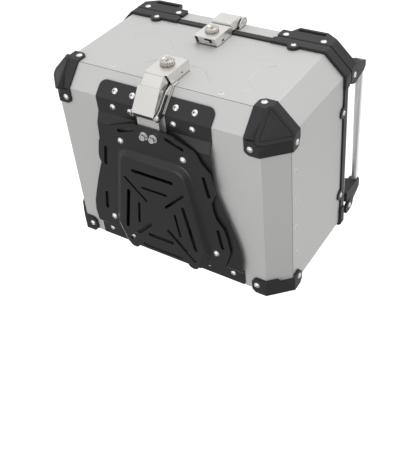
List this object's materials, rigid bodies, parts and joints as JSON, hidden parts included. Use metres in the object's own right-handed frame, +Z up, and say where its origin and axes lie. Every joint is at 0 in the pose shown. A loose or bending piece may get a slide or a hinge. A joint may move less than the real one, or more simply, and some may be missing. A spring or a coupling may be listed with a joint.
{
  "type": "motorcycle top case",
  "caption": "Aluminium motorcycle top case with a hinged lid, key latches, corner guards, tie-down rails and a slotted rack plate.",
  "frame": {"origin": "outer face of the rack plate's raised middle, on the case's centre line", "axes": "+Z up through the lid, +X to the rider's right, +Y forward towards the rider"},
  "size_m": [0.4444, 0.3656, 0.304],
  "materials": {
    "case_aluminium": "satin, fine grain",
    "rail_aluminium": "satin, drawn along its length",
    "black_plastic": "matte moulded, fine grain",
    "black_aluminium": "satin black anodised",
    "black_steel": "satin black powder coat",
    "rubber": "matte",
    "rivet_silver": "bright",
    "zinc_steel": "bright zinc",
    "latch_steel": "brushed stainless",
    "lock_chrome": "polished"
  },
  "bodies": {
    "case": {"wall_wrap": "case_aluminium", "bottom_pan": "case_aluminium", "pan_rivets": "rivet_silver", "mouth_band": "black_aluminium", "mouth_seal": "rubber", "band_rivets": "rivet_silver", "guard_screws": "zinc_steel", "adapter_plate": "black_steel", "adapter_rivets": "rivet_silver", "catch_hooks": "zinc_steel", "rack_plate": "black_steel", "plate_pads": "rubber", "rack_screws": "zinc_steel", "hook_tongue": "latch_steel", "tongue_bolts": "zinc_steel", "tongue_washers": "zinc_steel", "tongue_nuts": "zinc_steel", "base_lock_box": "latch_steel", "base_bracket": "latch_steel", "base_bracket_rivets": "zinc_steel", "base_lock_barrel": "lock_chrome", "lock_nuts": "zinc_steel", "lever_pin": "latch_steel", "lid_lock_box": "latch_steel", "lid_lock_barrel": "lock_chrome", "body_hinge_leaves": "zinc_steel", "hinge_pins": "zinc_steel", "body_hinge_rivets": "zinc_steel", "rear_trim_left": "black_plastic", "rear_trim_right": "black_plastic", "front_trim_left": "black_plastic", "front_trim_right": "black_plastic", "rear_guard_left": "black_plastic", "rear_guard_right": "black_plastic", "front_guard_left": "black_plastic", "front_guard_right": "black_plastic"},
    "lid": {"lid_shell": "case_aluminium", "lid_rim": "black_plastic", "lid_screws": "zinc_steel", "lid_bracket": "latch_steel", "hasp_pin": "latch_steel", "lid_hinge_leaves": "zinc_steel", "lid_hinge_rivets": "zinc_steel", "lid_rear_guard_left": "black_plastic", "lid_rear_guard_right": "black_plastic", "lid_front_guard_left": "black_plastic", "lid_front_guard_right": "black_plastic", "lid_rail_left": "rail_aluminium", "lid_rail_right": "rail_aluminium"},
    "hasp": {"hasp": "latch_steel"},
    "lid_plug": {"lid_lock_plug": "lock_chrome"},
    "lid_bolt": {"lid_lock_bolt": "latch_steel"},
    "lever": {"lever_cover": "latch_steel", "lever_tip": "latch_steel", "lever_cam": "black_steel"},
    "base_plug": {"base_lock_plug": "lock_chrome"},
    "base_bolt": {"base_lock_bolt": "latch_steel"}
  },
  "joints": [
    {"name": "lid_hinge", "type": "hinge", "parent": "case", "child": "lid", "pos_m": [0, 0.171, 0.2435], "axis": [-1, 0, 0], "range_deg": [0, 95]},
    {"name": "hasp_hinge", "type": "hinge", "parent": "lid", "child": "hasp", "pos_m": [0, -0.171, 0.2635], "axis": [-1, 0, 0], "range_deg": [0, 100]},
    {"name": "lid_lock_turn", "type": "hinge", "parent": "case", "child": "lid_plug", "pos_m": [0, -0.179, 0.2], "axis": [0, -1, 0], "range_deg": [0, 90]},
    {"name": "lid_bolt_slide", "type": "slide", "parent": "case", "child": "lid_bolt", "axis": [0, 0, 1], "range_m": [0, 0.0056]},
    {"name": "lever_hinge", "type": "hinge", "parent": "case", "child": "lever", "pos_m": [0, -0.133, 0.0052], "axis": [1, 0, 0], "range_deg": [0, 90]},
    {"name": "base_lock_turn", "type": "hinge", "parent": "case", "child": "base_plug", "pos_m": [0, -0.183, 0.075], "axis": [0, 1, 0], "range_deg": [0, 90]},
    {"name": "base_bolt_slide", "type": "slide", "parent": "case", "child": "base_bolt", "axis": [0, 0, -1], "range_m": [0, 0.0056]}
  ],
  "couplings": [
    {"joint": "lid_bolt_slide", "follows": "lid_lock_turn", "m_per_rad": 0.003565},
    {"joint": "base_bolt_slide", "follows": "base_lock_turn", "m_per_rad": 0.003565}
  ]
}
